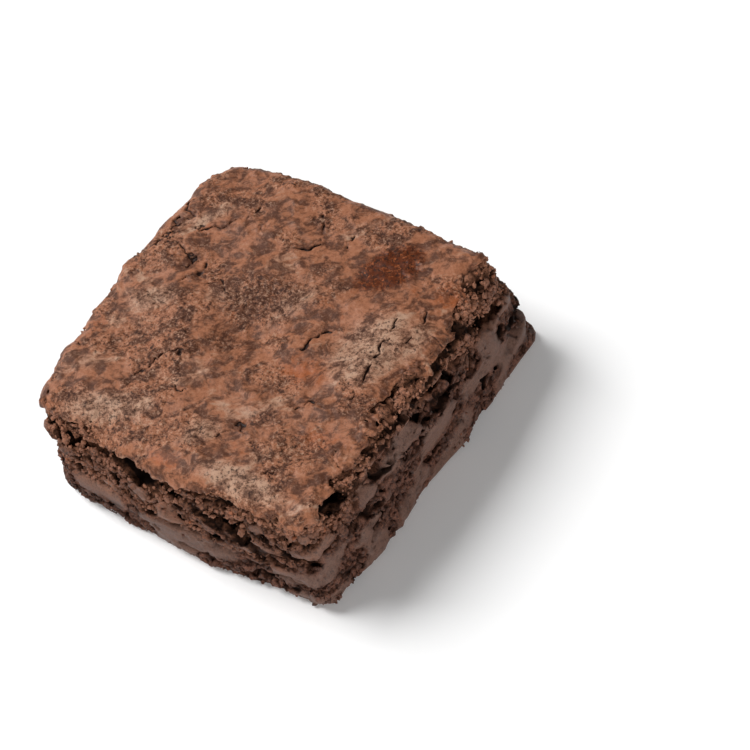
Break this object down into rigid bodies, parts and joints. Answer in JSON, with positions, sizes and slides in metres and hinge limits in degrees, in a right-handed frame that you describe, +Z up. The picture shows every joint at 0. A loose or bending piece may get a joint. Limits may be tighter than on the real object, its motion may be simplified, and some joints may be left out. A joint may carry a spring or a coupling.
{
  "type": "chocolate brownie",
  "caption": "Square chocolate brownie with a thin crackled crust, crumbly cut sides and one chipped top corner, lying on its flat base.",
  "frame": {"origin": "middle of the bounding box on the underside, which is the plane that the brownie lies on", "axes": "X and Y run along the cut sides, the chipped top corner is at +X +Y, and +Z is up out of the crust"},
  "size_m": [0.0828, 0.0886, 0.0321],
  "materials": {
    "crumb": "matt, moist dark chocolate crumb",
    "crust": "thin leathery baked crust, satin with dry pale patches"
  },
  "bodies": {
    "root": {"brownie": "crumb"}
  },
  "joints": []
}
